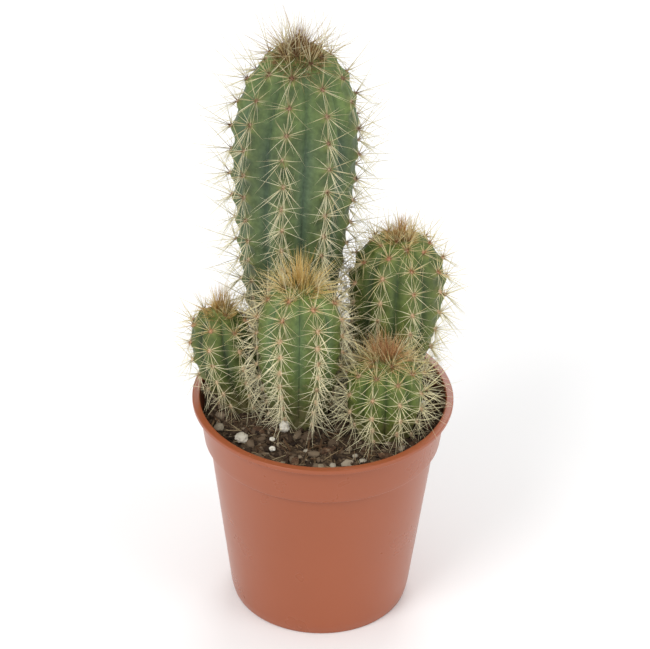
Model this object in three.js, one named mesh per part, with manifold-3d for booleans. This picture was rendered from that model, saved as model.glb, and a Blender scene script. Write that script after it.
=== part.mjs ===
// Potted tall cactus: five ribbed columnar stems growing from dark potting mix in a round nursery pot.
// Millimetres, +Z up. The origin is the centre of the pot's base, and -Y is the front.
// Each stem is one solid with its buried foot, each crown is a felt pad with the bristle spines that
// grow out of it, and the loose perlite grains and bark chips lie on the potting mix one by one.

import * as THREE from "three";
import Module from "manifold-3d";
import { mergeVertices } from "three/addons/utils/BufferGeometryUtils.js";

const wasm = await Module();
wasm.setup();

// ---------- driving dimensions ----------

const GAP = 0.3; // clearance between pieces that touch

const POT_HEIGHT = 108;
const RIM_R = 60; // outside of the rolled lip
const LIP_HEIGHT = 2.1;
const MOUTH_R = 56.6; // inside of the lip
const COLLAR_TOP_R = 57.2; // outside of the tapered collar, just under the lip
const COLLAR_FOOT_R = 54.6;
const COLLAR_FOOT_Z = 86.5;
const BODY_TOP_R = 52.2; // outside of the body, just under the collar
const BODY_FOOT_R = 42;
const BASE_R = 40.8;
const WALL = 1.0;
const FLOOR = 1.8;
const POT_SEGMENTS = 60;

const DRAIN_HOLES = 8;
const DRAIN_R = 4;
const DRAIN_CIRCLE_R = 29;

const SOIL_Z = 99; // mean level of the potting mix, 9 mm under the rim
const SOIL_SEGMENTS = 36;

const FOOT_DEPTH = 14; // how far a stem goes down into the mix
const GROOVE_DEPTH = 0.18; // groove depth between ribs, as a share of the crest radius
const POINTS_PER_RIB = 6;

// Each stem: root on the soil (x, y), tip (x, y, z), sideways bow of its middle, crest radius, number
// of ribs, the angle of one crest from the front (-Y) towards +X, the root's radius as a share of the
// crest radius, the share of the height over which it widens, the dome's length as a share of the
// crest radius and the two powers of its curve (see crestRadius), the rings along it, and its colour.
const STEMS = [
  {
    name: "tall", root: [-14.5, 31], tip: [-11.6, 36, 268.4], bow: -4.1, radius: 29, ribs: 9,
    crest: -10, waist: 0.65, swell: 0.75, dome: 1.33, curve: [1.35, 2.8], rings: 17, colour: 0x5f7448,
    tuft: { pad: 10, height: 2.6, spines: 22, length: [13, 19], fan: 62, colour: 0x6e4a2c },
  },
  {
    name: "front", root: [-11, -3.5], tip: [-11.1, -12, 174.4], bow: 0, radius: 19.1, ribs: 7,
    crest: -25, waist: 0.7, swell: 0.5, dome: 1.0, curve: [2.1, 2], rings: 11, colour: 0x6d8150,
    tuft: { pad: 8, height: 2.4, spines: 18, length: [9, 15], fan: 58, colour: 0xa8702f },
  },
  {
    name: "back_right", root: [27, 20.5], tip: [33.7, 26, 178.6], bow: 3.6, radius: 22, ribs: 9,
    crest: -22, waist: 0.7, swell: 0.6, dome: 1.0, curve: [1.8, 2.4], rings: 11, colour: 0x66794b,
    tuft: { pad: 8.5, height: 2.4, spines: 18, length: [10, 16], fan: 60, colour: 0xb07a37 },
  },
  {
    name: "front_right", root: [28, -13], tip: [28.1, -15, 139.4], bow: 0, radius: 18.4, ribs: 9,
    crest: -19, waist: 0.75, swell: 0.5, dome: 0.95, curve: [2.1, 2], rings: 9, colour: 0x6a7c4c,
    tuft: { pad: 7.5, height: 2.2, spines: 18, length: [9, 14], fan: 60, colour: 0x8f5436 },
  },
  {
    name: "left", root: [-36, 6], tip: [-49, 2, 151.3], bow: -4, radius: 14.5, ribs: 7,
    crest: -18, waist: 0.66, swell: 0.5, dome: 0.95, curve: [2.1, 2], rings: 10, colour: 0x6b7f4a,
    tuft: { pad: 6, height: 2, spines: 16, length: [8, 13], fan: 58, colour: 0xa56d2f },
  },
];

// Loose white perlite: x, y on the soil, the grain's mean diameter and its height as a share of it,
// if it is not lying flat.
const PERLITE = [
  [-17.3, -19.4, 4.4, 1.3], [-36.5, -27, 5.4], [-47, -17.5, 4.6], [-22.5, -26.5, 2.6], [-22.5, -33, 3.2],
  [-7, -33, 2.4], [18.5, -41.5, 3.2], [15, -37.5, 2.6], [-43.5, 22, 4.4], [8.5, 6.5, 3.4],
  [46.5, 4.5, 3.6], [9.5, 45, 4.2], [5, -46, 2.8], [-30, -40, 2.8],
];

// Loose bark chips: x, y on the soil, length, width, thickness and turn in degrees.
const BARK = [
  [2.5, -33.5, 9, 3.6, 1.4, 25], [-29, -19.5, 8, 3.2, 1.3, -40], [-12, -43, 7, 3.4, 1.5, 80],
  [29, -37, 8, 3.6, 1.5, -15], [41, -28, 7, 3, 1.3, 50], [48, -12.5, 6.5, 3, 1.4, 95],
  [-49, 4, 6, 2.8, 1.3, 70], [22, 43, 9, 3.8, 1.5, 10], [6, 16, 6.5, 3, 1.3, -60],
];

// ---------- helpers ----------

// A repeatable stream of numbers from 0 to 1.
function dice(seed) {
  let state = seed >>> 0;
  return () => {
    state = (state + 0x6d2b79f5) >>> 0;
    let t = Math.imul(state ^ (state >>> 15), 1 | state);
    t = (t + Math.imul(t ^ (t >>> 7), 61 | t)) ^ t;
    return ((t ^ (t >>> 14)) >>> 0) / 4294967296;
  };
}

function smooth(t) {
  const k = Math.min(1, Math.max(0, t));
  return k * k * (3 - 2 * k);
}

// The height of the potting mix at (x, y): a few shallow swells, level at the pot's wall.
function soilHeight(x, y) {
  const edge = 1 - smooth((Math.hypot(x, y) - 42) / 12);
  const swell = Math.sin(x * 0.11 + 1.3) * Math.cos(y * 0.13 - 0.4) + 0.5 * Math.sin(x * 0.07 - y * 0.16);
  return SOIL_Z + 0.8 * edge * swell;
}

// Position-only geometry with shared vertices and no collapsed triangles.
function welded(geometry) {
  const bare = geometry.clone();
  for (const key of Object.keys(bare.attributes)) {
    if (key !== "position") bare.deleteAttribute(key);
  }
  const merged = mergeVertices(bare, 1e-4);
  const kept = [];
  for (let i = 0; i < merged.index.count; i += 3) {
    const [a, b, c] = [0, 1, 2].map((k) => merged.index.getX(i + k));
    if (a !== b && b !== c && c !== a) kept.push(a, b, c);
  }
  merged.setIndex(kept);
  return merged;
}

function toSolid(geometry) {
  const clean = welded(geometry);
  return new wasm.Manifold(new wasm.Mesh({
    numProp: 3,
    vertProperties: new Float32Array(clean.attributes.position.array),
    triVerts: new Uint32Array(clean.index.array),
  }));
}

function toGeometry(solid) {
  const mesh = solid.getMesh();
  const geometry = new THREE.BufferGeometry();
  geometry.setAttribute("position", new THREE.BufferAttribute(new Float32Array(mesh.vertProperties), 3));
  geometry.setIndex(new THREE.BufferAttribute(new Uint32Array(mesh.triVerts), 1));
  geometry.computeVertexNormals();
  return geometry;
}

// A profile of [radius, height] pairs, from the axis and back to it, turned around +Z.
function turned(profile, segments) {
  const points = profile.map(([r, z]) => new THREE.Vector2(r, z));
  return new THREE.LatheGeometry(points, segments).rotateX(Math.PI / 2);
}

function plastic(colour) {
  return new THREE.MeshStandardMaterial({ color: colour, roughness: 0.5, metalness: 0 });
}

function matte(colour, roughness = 0.9) {
  return new THREE.MeshStandardMaterial({ color: colour, roughness, metalness: 0 });
}

function named(name, geometry, material) {
  const mesh = new THREE.Mesh(geometry, material);
  mesh.name = name;
  return mesh;
}

// ---------- pot ----------

// The thin-walled pot with its tapered body, straight collar and rolled lip, and drain holes in a circle.
function potGeometry() {
  const lipZ = POT_HEIGHT - LIP_HEIGHT;
  const shell = turned([
    [0, 0], [BASE_R, 0], [BODY_FOOT_R - 0.3, 1.2], [BODY_FOOT_R, 4], [BODY_TOP_R, COLLAR_FOOT_Z - 0.7],
    [COLLAR_FOOT_R - 0.5, COLLAR_FOOT_Z - 0.4], [COLLAR_FOOT_R, COLLAR_FOOT_Z + 0.3],
    [COLLAR_TOP_R, lipZ], [RIM_R - 0.4, lipZ], [RIM_R, lipZ + 0.5], [RIM_R, POT_HEIGHT - 0.7],
    [RIM_R - 0.6, POT_HEIGHT], [MOUTH_R + 0.5, POT_HEIGHT], [MOUTH_R, POT_HEIGHT - 0.5],
    [COLLAR_TOP_R - WALL, lipZ], [COLLAR_FOOT_R - WALL, COLLAR_FOOT_Z + 1.2],
    [BODY_TOP_R - WALL, COLLAR_FOOT_Z - 0.8], [BODY_FOOT_R - WALL, 4], [BASE_R - 1.4, FLOOR], [0, FLOOR],
  ], POT_SEGMENTS);
  let pot = toSolid(shell);
  for (let i = 0; i < DRAIN_HOLES; i += 1) {
    const turn = ((i + 0.5) * 2 * Math.PI) / DRAIN_HOLES;
    const drill = new THREE.CylinderGeometry(DRAIN_R, DRAIN_R, FLOOR + 6, 12).rotateX(Math.PI / 2);
    drill.translate(DRAIN_CIRCLE_R * Math.cos(turn), DRAIN_CIRCLE_R * Math.sin(turn), FLOOR / 2);
    pot = pot.subtract(toSolid(drill));
  }
  return toGeometry(pot);
}

// ---------- stems ----------

// The centre and axis directions of a stem at a share u of its height; below 0 it runs straight down.
function stemFrame(stem, u) {
  const root = new THREE.Vector3(stem.root[0], stem.root[1], SOIL_Z);
  const tip = new THREE.Vector3(...stem.tip);
  const middle = root.clone().add(tip).multiplyScalar(0.5);
  middle.x += stem.bow;
  const curve = new THREE.QuadraticBezierCurve3(root, middle, tip);
  const along = curve.getTangent(Math.max(0, u));
  const centre = curve.getPoint(Math.max(0, u));
  if (u < 0) centre.addScaledVector(along, u * root.distanceTo(tip));
  const side = new THREE.Vector3(0, 1, 0).cross(along).normalize();
  const back = along.clone().cross(side);
  return { centre, along, side, back, length: root.distanceTo(tip) };
}

// The crest radius at a share u of the height: a narrow foot, a swelling body and a domed top.
function crestRadius(stem, u, length) {
  const dome = stem.radius * stem.dome;
  const k = Math.max(0, (u * length - (length - dome)) / dome);
  const body = stem.waist + (1 - stem.waist) * smooth(u / stem.swell);
  const foot = u < 0 ? 1 - 0.45 * smooth((-u * length) / FOOT_DEPTH) : 1;
  const [fall, round] = stem.curve; // a low fall and a high round flatten the tip over sloping shoulders
  return stem.radius * body * foot * Math.max(0, 1 - k ** fall) ** (1 / round);
}

// How far the surface lies inside the crest circle, 0 on a crest and 1 in a groove.
function grooveShare(angle) {
  return 1 - Math.abs(Math.sin(angle / 2)) ** 0.7;
}

// Shares of the height where a stem has a ring of points: the buried foot, the body and the dome.
function ringShares(stem, length) {
  const domeStart = 1 - (stem.radius * stem.dome) / length;
  const shares = [-(FOOT_DEPTH - 0.8) / length, -0.5 * FOOT_DEPTH / length];
  const bodyRings = stem.rings - 4;
  for (let i = 0; i <= bodyRings; i += 1) shares.push((domeStart * i) / bodyRings);
  for (const turn of [26, 46, 63, 76]) {
    shares.push(domeStart + (1 - domeStart) * Math.sin((turn * Math.PI) / 180));
  }
  return shares;
}

// The ribbed stem as one closed body, swollen by `grow` all round when it cuts its own socket.
function stemGeometry(stem, grow = 0) {
  const { length } = stemFrame(stem, 0);
  const shares = ringShares(stem, length);
  const round = stem.ribs * POINTS_PER_RIB;
  const ribPhase = (stem.crest * Math.PI) / 180;
  const points = [];
  for (const u of shares) {
    const { centre, side, back } = stemFrame(stem, u);
    const crest = crestRadius(stem, u, length);
    const fade = smooth((u * length) / 12 + 0.6) * (0.3 + 0.7 * smooth((1 - u) * length / (0.7 * stem.radius)));
    for (let j = 0; j < round; j += 1) {
      const turn = (j * 2 * Math.PI) / round;
      const radius = crest * (1 - GROOVE_DEPTH * fade * grooveShare(turn * stem.ribs)) + grow;
      const angle = turn + ribPhase + Math.PI / stem.ribs;
      const place = centre.clone();
      place.addScaledVector(side, radius * Math.sin(angle));
      place.addScaledVector(back, -radius * Math.cos(angle));
      points.push(place.x, place.y, place.z);
    }
  }
  const foot = stemFrame(stem, -FOOT_DEPTH / length);
  const tip = stemFrame(stem, 1);
  const bottom = foot.centre.clone().addScaledVector(foot.along, -grow);
  const top = tip.centre.clone().addScaledVector(tip.along, grow);
  points.push(bottom.x, bottom.y, bottom.z, top.x, top.y, top.z);
  const faces = [];
  const last = shares.length - 1;
  const bottomIndex = shares.length * round;
  for (let j = 0; j < round; j += 1) {
    const next = (j + 1) % round;
    faces.push(bottomIndex, next, j);
    faces.push(bottomIndex + 1, last * round + j, last * round + next);
    for (let i = 0; i < last; i += 1) {
      const [a, b] = [i * round + j, i * round + next];
      const [c, d] = [a + round, b + round];
      faces.push(a, b, d, a, d, c);
    }
  }
  const geometry = new THREE.BufferGeometry();
  geometry.setAttribute("position", new THREE.Float32BufferAttribute(points, 3));
  geometry.setIndex(faces);
  geometry.computeVertexNormals();
  return geometry;
}

// ---------- crowns ----------

// A felt pad over a stem's tip with bristle spines fanning up and out of it, all one body.
function tuftGeometry(stem, seed) {
  const { pad, height, spines, length, fan } = stem.tuft;
  const { centre, along } = stemFrame(stem, 1);
  const upright = new THREE.Quaternion().setFromUnitVectors(new THREE.Vector3(0, 0, 1), along);
  const [fall, round] = stem.curve;
  const edgeShare = (1 - (pad / stem.radius) ** round) ** (1 / fall);
  const sink = stem.radius * stem.dome * (1 - edgeShare); // the dome's drop at the pad's edge
  const felt = new THREE.SphereGeometry(pad, 12, 6).rotateX(Math.PI / 2);
  felt.scale(1, 1, (height + sink) / pad).translate(0, 0, -sink);
  felt.applyQuaternion(upright).translate(centre.x, centre.y, centre.z);
  let tuft = toSolid(felt).subtract(toSolid(stemGeometry(stem, GAP)));
  const roll = dice(seed);
  for (let i = 0; i < spines; i += 1) {
    const share = Math.sqrt((i + 0.5) / spines);
    const around = i * 2.39996 + 0.5 * (roll() - 0.5);
    const tilt = ((fan * share + 8 * (roll() - 0.5)) * Math.PI) / 180;
    const reach = length[0] + (length[1] - length[0]) * roll() * (1 - 0.4 * share);
    const heading = new THREE.Vector3(
      Math.sin(tilt) * Math.cos(around), Math.sin(tilt) * Math.sin(around), Math.cos(tilt),
    );
    const spine = new THREE.ConeGeometry(0.5, reach, 3).translate(0, reach / 2, 0);
    spine.applyQuaternion(new THREE.Quaternion().setFromUnitVectors(new THREE.Vector3(0, 1, 0), heading));
    const spread = 0.62 * pad * share;
    spine.translate(
      spread * Math.cos(around), spread * Math.sin(around), 0.75 * height * Math.sqrt(1 - (0.62 * share) ** 2),
    );
    spine.applyQuaternion(upright).translate(centre.x, centre.y, centre.z);
    tuft = tuft.add(toSolid(spine));
  }
  return toGeometry(tuft);
}

// ---------- potting mix and what lies on it ----------

// The potting mix fills the pot to a gently uneven top, with a socket for each stem's foot.
function soilGeometry() {
  const top = [54.9, 49, 40, 30, 19, 9];
  const geometry = turned([
    [0, FLOOR + GAP], [BASE_R - 1.9, FLOOR + GAP], [BODY_FOOT_R - WALL - GAP, 4.2],
    [BODY_TOP_R - WALL - GAP, COLLAR_FOOT_Z - 0.6], [COLLAR_FOOT_R - WALL - GAP, COLLAR_FOOT_Z + 1.5],
    ...top.map((r) => [r, SOIL_Z]), [0, SOIL_Z],
  ], SOIL_SEGMENTS);
  const place = geometry.attributes.position;
  for (let i = 0; i < place.count; i += 1) {
    if (Math.abs(place.getZ(i) - SOIL_Z) < 0.01) place.setZ(i, soilHeight(place.getX(i), place.getY(i)));
  }
  let soil = toSolid(geometry);
  for (const stem of STEMS) soil = soil.subtract(toSolid(stemGeometry(stem, GAP)));
  return toGeometry(soil);
}

// One knobbly perlite grain, lying on the mix.
function perliteGeometry([x, y, size, rise = 0.62], seed) {
  const geometry = welded(new THREE.IcosahedronGeometry(size / 2, size > 4 ? 1 : 0));
  const roll = dice(seed);
  const stretch = [1.05 + 0.2 * roll(), 0.9 + 0.15 * roll(), rise + 0.12 * roll()];
  const place = geometry.attributes.position;
  for (let i = 0; i < place.count; i += 1) {
    const bump = 0.92 + 0.16 * roll();
    const [px, py, pz] = [place.getX(i), place.getY(i), place.getZ(i)];
    place.setXYZ(i, px * stretch[0] * bump, py * stretch[1] * bump, pz * stretch[2] * bump);
  }
  geometry.rotateZ(roll() * Math.PI);
  geometry.computeBoundingBox();
  const lift = restHeight(x, y, size / 2) - geometry.boundingBox.min.z;
  return geometry.translate(x, y, lift);
}

// One flat chip of bark with an uneven six-sided outline, lying on the mix.
function barkGeometry([x, y, length, width, thickness, turn], seed) {
  const roll = dice(seed);
  const outline = new THREE.Shape();
  const corners = [[-0.5, 0.05], [-0.28, -0.5], [0.22, -0.42], [0.5, -0.1], [0.3, 0.46], [-0.2, 0.5]];
  corners.forEach(([a, b], i) => {
    const [px, py] = [a * length * (0.9 + 0.2 * roll()), b * width * (0.9 + 0.2 * roll())];
    if (i === 0) outline.moveTo(px, py);
    else outline.lineTo(px, py);
  });
  outline.closePath();
  const geometry = new THREE.ExtrudeGeometry(outline, { depth: thickness, bevelEnabled: false });
  geometry.rotateZ((turn * Math.PI) / 180);
  return geometry.translate(x, y, restHeight(x, y, length / 2));
}

// The lowest height at which a piece of this reach clears the mix under it.
function restHeight(x, y, reach) {
  let high = soilHeight(x, y);
  for (let i = 0; i < 12; i += 1) {
    const turn = (i * Math.PI) / 6;
    high = Math.max(high, soilHeight(x + reach * Math.cos(turn), y + reach * Math.sin(turn)));
  }
  return high + GAP;
}

// ---------- assembly ----------

const cactus = new THREE.Group();
cactus.add(named("pot", potGeometry(), plastic(0xa9674c)));
cactus.add(named("soil", soilGeometry(), matte(0x3a2a20, 0.95)));
STEMS.forEach((stem, i) => {
  cactus.add(named(`${stem.name}_stem`, stemGeometry(stem), matte(stem.colour, 0.7)));
  cactus.add(named(`${stem.name}_crown_spines`, tuftGeometry(stem, 11 + i), matte(stem.tuft.colour, 0.8)));
});
PERLITE.forEach((grain, i) => {
  cactus.add(named(`perlite_${i + 1}`, perliteGeometry(grain, 101 + i), matte(0xe6e3da)));
});
BARK.forEach((chip, i) => {
  cactus.add(named(`bark_${i + 1}`, barkGeometry(chip, 201 + i), matte(0x5a4130)));
});

export default cactus;
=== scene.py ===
"""Looks of the potted tall cactus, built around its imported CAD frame.

Shapes are worked out in millimetres and turned to metres when a mesh is made.
"""

import math

import bmesh
import bpy
import numpy as np
from mathutils import Matrix, Vector, noise
from mathutils.bvhtree import BVHTree


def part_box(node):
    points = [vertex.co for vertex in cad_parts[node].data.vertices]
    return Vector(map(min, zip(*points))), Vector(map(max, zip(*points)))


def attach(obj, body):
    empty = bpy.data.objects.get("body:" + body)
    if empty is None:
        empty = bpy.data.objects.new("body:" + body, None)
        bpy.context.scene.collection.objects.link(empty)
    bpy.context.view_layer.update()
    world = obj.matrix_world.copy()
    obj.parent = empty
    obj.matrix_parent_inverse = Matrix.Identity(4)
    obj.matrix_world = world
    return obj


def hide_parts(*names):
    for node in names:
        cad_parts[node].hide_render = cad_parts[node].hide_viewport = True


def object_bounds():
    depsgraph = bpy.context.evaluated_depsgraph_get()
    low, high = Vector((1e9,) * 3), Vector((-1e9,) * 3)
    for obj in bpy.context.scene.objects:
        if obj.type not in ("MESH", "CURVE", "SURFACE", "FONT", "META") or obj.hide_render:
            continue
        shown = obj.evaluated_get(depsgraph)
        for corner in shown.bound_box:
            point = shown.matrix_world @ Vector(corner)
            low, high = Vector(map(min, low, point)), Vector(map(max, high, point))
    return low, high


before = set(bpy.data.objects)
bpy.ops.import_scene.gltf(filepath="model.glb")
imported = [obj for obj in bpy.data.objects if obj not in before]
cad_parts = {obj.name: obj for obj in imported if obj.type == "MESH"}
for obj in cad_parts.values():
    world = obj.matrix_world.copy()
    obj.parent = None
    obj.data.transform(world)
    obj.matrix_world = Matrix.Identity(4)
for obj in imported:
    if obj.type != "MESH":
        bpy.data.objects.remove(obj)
cad_low, cad_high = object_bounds()

MM = 0.001
TAU = 2 * math.pi


# ---- camera, light and floor

CAMERA_PLACE = (0, -1.204266, 0.951236)
CAMERA_PITCH = 33.755  # degrees below the horizontal
CAMERA_ROLL = 1.05  # degrees
CAMERA_TURN = 0.000314  # radians to the right of straight ahead
CAMERA_LENS = 177.23  # mm, on a sensor 36 mm wide
LAMPS = {  # place, target, size (m) and power (W)
    "key": ((-0.9, -1.1, 1.5), (0, 0, 0.12), 0.9, 16),
    "fill": ((1.2, -0.7, 0.9), (0, 0, 0.12), 1.0, 6),
    "back": ((0.2, 1.3, 1.2), (0, 0, 0.15), 0.9, 7),
}
SKY = 0.75
FLOOR_HALF = 4.0
FLOOR_Z = -0.0002
FLOOR_GREY = 0.93


def make_camera():
    """A long lens looking down on the front at about 34 degrees."""
    pitch, roll = math.radians(CAMERA_PITCH), math.radians(CAMERA_ROLL)
    ahead = unit(np.array([CAMERA_TURN * math.cos(pitch), math.cos(pitch), -math.sin(pitch)]))
    right = unit(np.cross(ahead, [0, 0, 1]))
    up = np.cross(right, ahead)
    x_axis = math.cos(roll) * right + math.sin(roll) * up
    y_axis = -math.sin(roll) * right + math.cos(roll) * up
    data = bpy.data.cameras.new("camera")
    data.sensor_width = 36
    data.lens = CAMERA_LENS
    data.clip_end = 20
    camera = place_object("camera", data)
    world = np.eye(4)
    world[:3, 0], world[:3, 1], world[:3, 2] = x_axis, y_axis, -ahead
    world[:3, 3] = CAMERA_PLACE
    camera.matrix_world = Matrix(world.tolist())
    bpy.context.scene.camera = camera


def area_light(name, place, target, size, power):
    data = bpy.data.lights.new(name, "AREA")
    data.shape = "DISK"
    data.size = size
    data.energy = power
    light = place_object(name, data)
    light.location = place
    light.rotation_euler = (Vector(target) - Vector(place)).to_track_quat("-Z", "Y").to_euler()


def make_studio():
    scene = bpy.context.scene
    scene.view_settings.view_transform = "Standard"
    world = bpy.data.worlds.new("studio")
    world.use_nodes = True
    background = world.node_tree.nodes["Background"]
    background.inputs["Color"].default_value = (1, 1, 1, 1)
    background.inputs["Strength"].default_value = SKY
    scene.world = world
    for name, setting in LAMPS.items():
        area_light(name, *setting)
    mesh = bpy.data.meshes.new("floor")
    corners = [(x * FLOOR_HALF, y * FLOOR_HALF, 0) for x, y in ((-1, -1), (1, -1), (1, 1), (-1, 1))]
    mesh.from_pydata(corners, [], [(0, 1, 2, 3)])
    floor = place_object("floor", mesh)
    floor.location.z = FLOOR_Z
    look = Look("floor", 0.7)
    look.colour((FLOOR_GREY, FLOOR_GREY, FLOOR_GREY))
    mesh.materials.append(look.material)


# ---- mesh helpers

class Batch:
    """Collects many small closed solids into one mesh, each with its own shade for the material."""

    def __init__(self):
        self.points, self.faces, self.corner_uv = [], [], []
        self.count = 0

    def add(self, points, faces, corner_uv):
        """points (n, 3) in mm, faces as a list of equal-length index arrays, corner_uv matching them."""
        self.points.append(points)
        for face_set, uv_set in zip(faces, corner_uv):
            self.faces.append(face_set + self.count)
            self.corner_uv.append(uv_set)
        self.count += len(points)

    def build(self, name, material, smooth=True):
        points = np.concatenate(self.points) * MM
        loops = np.concatenate([f.reshape(-1) for f in self.faces])
        sizes = np.concatenate([np.full(len(f), f.shape[1]) for f in self.faces])
        uv = np.concatenate([u.reshape(-1, 2) for u in self.corner_uv])
        mesh = raw_mesh(name, points, loops, sizes, smooth)
        for layer_name in ("spot_uv", "OFBake"):
            layer = mesh.uv_layers.new(name=layer_name, do_init=False)
            layer.data.foreach_set("uv", uv.astype(np.float32).reshape(-1))
        mesh.materials.append(material)
        return place_object(name, mesh)


def raw_mesh(name, points, loops, sizes, smooth):
    mesh = bpy.data.meshes.new(name)
    mesh.vertices.add(len(points))
    mesh.vertices.foreach_set("co", points.astype(np.float32).reshape(-1))
    mesh.loops.add(len(loops))
    mesh.loops.foreach_set("vertex_index", loops.astype(np.int32))
    starts = np.concatenate([[0], np.cumsum(sizes)[:-1]])
    mesh.polygons.add(len(sizes))
    mesh.polygons.foreach_set("loop_start", starts.astype(np.int32))
    mesh.polygons.foreach_set("loop_total", sizes.astype(np.int32))
    mesh.polygons.foreach_set("use_smooth", np.full(len(sizes), smooth))
    mesh.update(calc_edges=True)
    mesh.validate()
    return mesh


def place_object(name, data):
    made = bpy.data.objects.new(name, data)
    bpy.context.scene.collection.objects.link(made)
    return made


def grid_solid(name, rows, material, attributes, bottom=None, top=None):
    """A closed skin from rings of points (rows, columns, 3) in mm, with a point capping each end."""
    count, round_, _ = rows.shape
    bottom = rows[0].mean(0) if bottom is None else bottom
    top = rows[-1].mean(0) if top is None else top
    points = np.concatenate([rows.reshape(-1, 3), [bottom, top]])
    ring = np.arange(round_)
    after = np.roll(ring, -1)
    start = np.arange(count - 1)[:, None] * round_
    above = start + round_
    quads = np.stack([start + ring, start + after, above + after, above + ring], -1)
    last, foot = (count - 1) * round_, np.full(round_, count * round_)
    caps = np.concatenate([
        np.stack([foot, after, ring], -1), np.stack([foot + 1, last + ring, last + after], -1)])
    loops = np.concatenate([quads.reshape(-1), caps.reshape(-1)])
    sizes = np.concatenate([np.full(quads.size // 4, 4), np.full(len(caps), 3)])
    mesh = raw_mesh(name, points * MM, loops, sizes, True)
    for key, values in attributes.items():
        flat = np.concatenate([values.reshape(-1), [values[0].mean(), values[-1].mean()]])
        layer = mesh.attributes.new(key, "FLOAT", "POINT")
        layer.data.foreach_set("value", flat.astype(np.float32))
    mesh.materials.append(material)
    return place_object(name, mesh)


def full_turn(count):
    """Angles spread evenly over a full turn."""
    return np.arange(count) * TAU / count


def unit(v):
    return v / np.maximum(np.linalg.norm(v, axis=-1, keepdims=True), 1e-9)


def smoothstep(t):
    t = np.clip(t, 0, 1)
    return t * t * (3 - 2 * t)


def blur(values, reach, mirror):
    """Gaussian smoothing along axis 0. mirror is +1 or -1 for how the far end carries on past itself."""
    half = int(3 * reach) + 1
    kernel = np.exp(-0.5 * (np.arange(-half, half + 1) / reach) ** 2)
    kernel /= kernel.sum()
    near = 2 * values[0] - values[1:half + 1][::-1]
    far = values[-half - 1:-1][::-1]
    if mirror < 0:
        far = 2 * values[-1] - far
    return np.convolve(np.concatenate([near, values, far]), kernel, "valid")


# ---- material helpers

class Look:
    """A material with short calls for adding nodes."""

    def __init__(self, name, roughness, specular=0.5):
        self.material = bpy.data.materials.new(name)
        self.material.use_nodes = True
        self.tree = self.material.node_tree
        self.shader = self.tree.nodes["Principled BSDF"]
        self.shader.inputs["Roughness"].default_value = roughness
        self.shader.inputs["Specular IOR Level"].default_value = specular

    def feed(self, socket, value):
        """Links a socket to another node's output, or sets it to a number or a colour."""
        if isinstance(value, bpy.types.NodeSocket):
            self.tree.links.new(value, socket)
        elif value is not None:
            socket.default_value = (*value, 1) if isinstance(value, tuple) else value

    def node(self, kind, inputs=(), **settings):
        made = self.tree.nodes.new(kind)
        for key, value in settings.items():
            setattr(made, key, value)
        for key, value in dict(inputs).items():
            self.feed(made.inputs[key], value)
        return made

    def attribute(self, name):
        return self.node("ShaderNodeAttribute", attribute_name=name).outputs["Fac"]

    def place(self):
        return self.node("ShaderNodeTexCoord").outputs["Object"]

    def noise(self, scale, detail=4.0, roughness=0.55):
        inputs = {"Vector": self.place(), "Scale": scale, "Detail": detail, "Roughness": roughness}
        return self.node("ShaderNodeTexNoise", inputs).outputs["Fac"]

    def ramp(self, source, stops):
        made = self.node("ShaderNodeValToRGB", {"Fac": source})
        ramp = made.color_ramp
        while len(ramp.elements) < len(stops):
            ramp.elements.new(0.5)
        for element, (at, colour) in zip(ramp.elements, stops):
            element.position = at
            element.color = (*colour, 1)
        return made.outputs["Color"]

    def mix(self, factor, a, b, blend="MIX"):
        """Two colours mixed. Sockets 0, 6 and 7 are the node's factor and colours, and 2 its result."""
        inputs = {0: factor, 6: a, 7: b}
        return self.node("ShaderNodeMix", inputs, data_type="RGBA", blend_type=blend).outputs[2]

    def times(self, a, b):
        """Two colours multiplied."""
        return self.mix(1.0, a, b, "MULTIPLY")

    def math(self, operation, a, b=None):
        return self.node("ShaderNodeMath", {0: a, 1: b}, operation=operation).outputs[0]

    def colour(self, value):
        self.feed(self.shader.inputs["Base Color"], value)

    def rough(self, value):
        self.feed(self.shader.inputs["Roughness"], value)

    def bump(self, height, strength, distance, under=None):
        inputs = {"Height": height, "Strength": strength, "Distance": distance, "Normal": under}
        normal = self.node("ShaderNodeBump", inputs).outputs["Normal"]
        self.feed(self.shader.inputs["Normal"], normal)
        return normal


def srgb(r, g, b):
    """A colour given as 0 to 255 screen values."""
    shares = (r / 255, g / 255, b / 255)
    return tuple(c / 12.92 if c <= 0.04045 else ((c + 0.055) / 1.055) ** 2.4 for c in shares)


WHITE, BLACK = (1, 1, 1), (0, 0, 0)


# ---- pot

POT_PROFILE = [
    # radius, height and corner rounding, up the outside and back down the inside
    (39.9, 0.0, 0), (40.9, 0.0, 1.2), (42.0, 4.0, 3), (52.2, 85.7, 0.5), (54.5, 86.4, 0.5),
    (57.2, 105.9, 0.4), (60.0, 105.9, 0.4), (60.0, 108.0, 0.5), (56.6, 108.0, 0.5),
    (56.2, 105.9, 1.5), (53.6, 87.7, 1), (51.2, 85.6, 1), (41.0, 4.0, 2.0), (39.6, 1.8, 0.8),
]
POT_WIDTH = 120.0
POT_SIDES = 240
FLOOR_CENTRES = (0.0, 1.8)  # heights of the floor's underside and top in the middle
INNER_FROM = 1.2  # mm below the rim at which the painted shade on the inner wall starts
DRAIN_HOLES = 8
DRAIN_R = 4.0
DRAIN_CIRCLE_R = 29.0
DRAIN_SIDES = 28
DRAIN_CUT = (-3.0, 5.0)  # heights between which the holes are cut


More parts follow.
